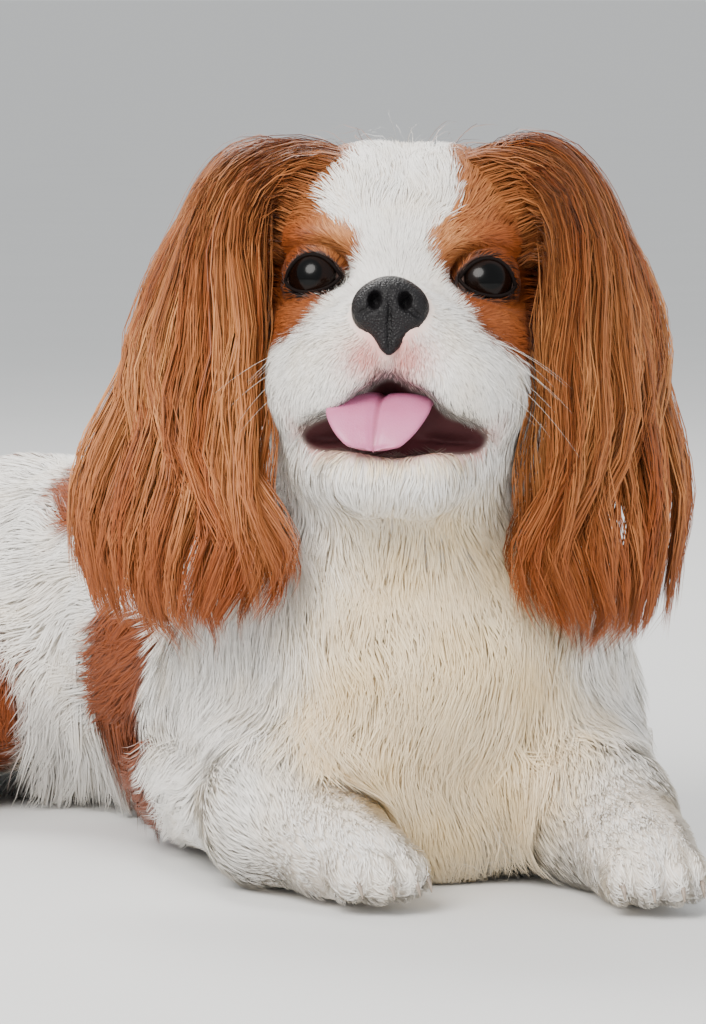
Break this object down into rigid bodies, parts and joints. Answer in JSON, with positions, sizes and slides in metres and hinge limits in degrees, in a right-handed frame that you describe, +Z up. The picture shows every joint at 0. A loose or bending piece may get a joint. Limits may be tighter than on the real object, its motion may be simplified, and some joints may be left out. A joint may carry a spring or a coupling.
{
  "type": "dog figure",
  "caption": "Life-size lying spaniel with its head up, mouth open, long feathered ears and a plumed tail, as one still model.",
  "frame": {"origin": "on the flat under the chest, level with the ground that the figure lies on", "axes": "the head faces -Y, the dog's own left is +X, up is +Z"},
  "size_m": [0.3991, 0.6453, 0.2819],
  "materials": {
    "head": "short coat, chestnut with a white blaze and muzzle",
    "neck": "long white coat",
    "torso": "long white coat with chestnut patches",
    "foreleg_left": "white feathered coat",
    "foreleg_right": "white feathered coat",
    "hindleg_left": "white feathered coat with a chestnut thigh",
    "hindleg_right": "white feathered coat with a chestnut thigh",
    "tail": "white plume",
    "eye_left": "wet, very dark brown",
    "eye_right": "wet, very dark brown",
    "nose": "moist black skin",
    "tongue": "moist pink",
    "ear_left": "long wavy chestnut coat",
    "ear_right": "long wavy chestnut coat"
  },
  "bodies": {
    "root": {"head": "head", "neck": "neck", "torso": "torso", "foreleg_left": "foreleg_left", "foreleg_right": "foreleg_right", "hindleg_left": "hindleg_left", "hindleg_right": "hindleg_right", "tail": "tail", "eye_left": "eye_left", "eye_right": "eye_right", "nose": "nose", "tongue": "tongue", "ear_left": "ear_left", "ear_right": "ear_right"}
  },
  "joints": []
}
